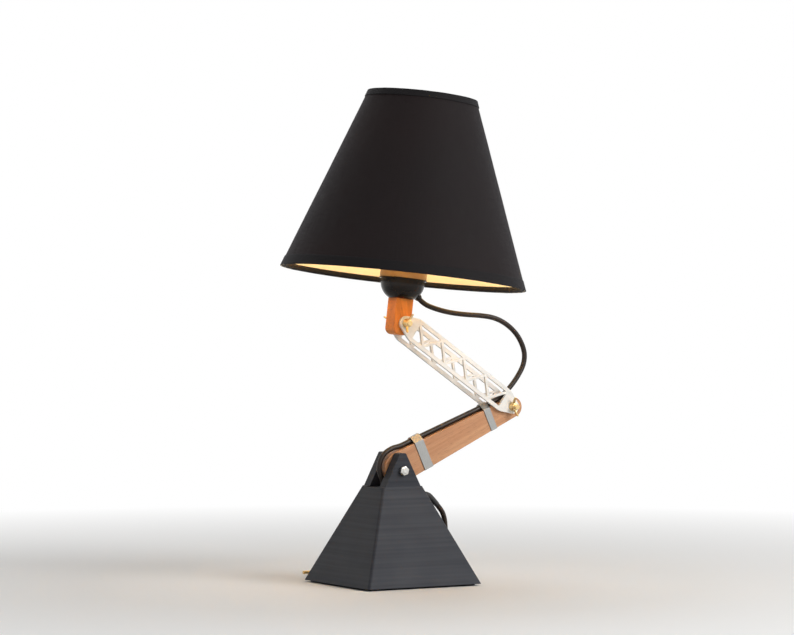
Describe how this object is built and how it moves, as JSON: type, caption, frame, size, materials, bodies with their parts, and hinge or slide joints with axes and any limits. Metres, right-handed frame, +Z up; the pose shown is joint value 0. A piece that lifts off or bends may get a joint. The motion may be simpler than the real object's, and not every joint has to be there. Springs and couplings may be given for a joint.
{
  "type": "folding-arm desk lamp",
  "caption": "Desk lamp with a pyramid base, a folding arm of a wooden bar and two lattice plates, a socket on a wooden block, and a black tapered fabric shade.",
  "frame": {"origin": "centre of the base's underside, on the table", "axes": "+Z up; +X along the lower arm, away from the base towards the elbow; the three arm pivots run along Y"},
  "size_m": [0.31, 0.3483, 0.5694],
  "materials": {
    "printed_black": "fine layer lines",
    "steel": "plain",
    "foam": "matt",
    "zinc": "bright zinc",
    "nylon": "matt",
    "wood": "oiled, close grain",
    "clip_sheet": "satin",
    "printed_white": "satin",
    "brass": "plain",
    "bakelite": "gloss",
    "skirt": "satin",
    "black_fabric": "close weave, rolled hems",
    "gold_foil": "satin foil",
    "wire": "white enamel",
    "glass": "opal",
    "cord": "smooth"
  },
  "bodies": {
    "base": {"base_shell": "printed_black", "base_fork": "printed_black", "bottom_plate": "steel", "ballast_block": "steel", "base_pad": "foam", "base_bolt": "zinc", "base_nut": "zinc", "base_washer_near": "nylon", "base_washer_far": "nylon", "base_gland": "bakelite", "cord_bend": "cord", "mains_lead": "cord", "mains_coil": "cord", "mains_tail": "cord", "plug_body": "cord", "plug_pin_near": "brass", "plug_pin_far": "brass"},
    "lower_arm": {"lower_arm_bar": "wood", "cord_clip_low": "clip_sheet", "cord_clip_high": "clip_sheet", "elbow_washer_near": "nylon", "elbow_washer_far": "nylon", "elbow_wing_bolt": "brass", "cord_run": "cord", "cord_loop_low": "cord"},
    "elbow_knob": {"elbow_wing_nut": "brass"},
    "upper_arm": {"truss_plate_near": "printed_white", "truss_plate_far": "printed_white"},
    "head": {"head_block": "wood", "head_washer_near": "nylon", "head_washer_far": "nylon", "head_wing_bolt": "brass", "threaded_nipple": "brass", "socket_dome": "bakelite", "dome_gland": "bakelite", "socket_skirt": "skirt", "screw_shell": "brass", "centre_contact": "brass", "cord_loop_high": "cord"},
    "head_knob": {"head_wing_nut": "brass"},
    "shade": {"shade_skin": "black_fabric", "shade_lining": "gold_foil", "shade_frame_low": "wire", "shade_hoop_top": "wire"},
    "shade_clamp": {"shade_clamp_ring": "bakelite"},
    "bulb": {"bulb_cap": "brass", "bulb_glass": "glass"}
  },
  "joints": [
    {"name": "base_hinge", "type": "hinge", "parent": "base", "child": "lower_arm", "pos_m": [0, 0, 0.131], "axis": [0, -1, 0], "range_deg": [-22, 55], "deforming": ["cord_bend"]},
    {"name": "elbow_hinge", "type": "hinge", "parent": "lower_arm", "child": "upper_arm", "pos_m": [0.15506, 0, 0.20069], "axis": [0, 1, 0], "range_deg": [-30, 75], "deforming": ["cord_loop_low"]},
    {"name": "head_hinge", "type": "hinge", "parent": "upper_arm", "child": "head", "pos_m": [0.01067, 0, 0.29956], "axis": [0, 1, 0], "range_deg": [-40, 35], "deforming": ["cord_loop_high"]},
    {"name": "elbow_wing_turn", "type": "hinge", "parent": "lower_arm", "child": "elbow_knob", "pos_m": [0.15506, -0.018, 0.20069], "axis": [0, -1, 0], "continuous": true},
    {"name": "head_wing_turn", "type": "hinge", "parent": "head", "child": "head_knob", "pos_m": [0.01067, -0.018, 0.29956], "axis": [0, -1, 0], "continuous": true},
    {"name": "shade_turn", "type": "hinge", "parent": "head", "child": "shade", "pos_m": [0.01686, 0, 0.37033], "axis": [0.1236, 0, 0.9923], "continuous": true},
    {"name": "clamp_ring_turn", "type": "hinge", "parent": "head", "child": "shade_clamp", "pos_m": [0.01736, 0, 0.3743], "axis": [0.1236, 0, 0.9923], "continuous": true},
    {"name": "bulb_turn", "type": "hinge", "parent": "head", "child": "bulb", "pos_m": [0.01797, 0, 0.37926], "axis": [0.1236, 0, 0.9923], "continuous": true}
  ]
}
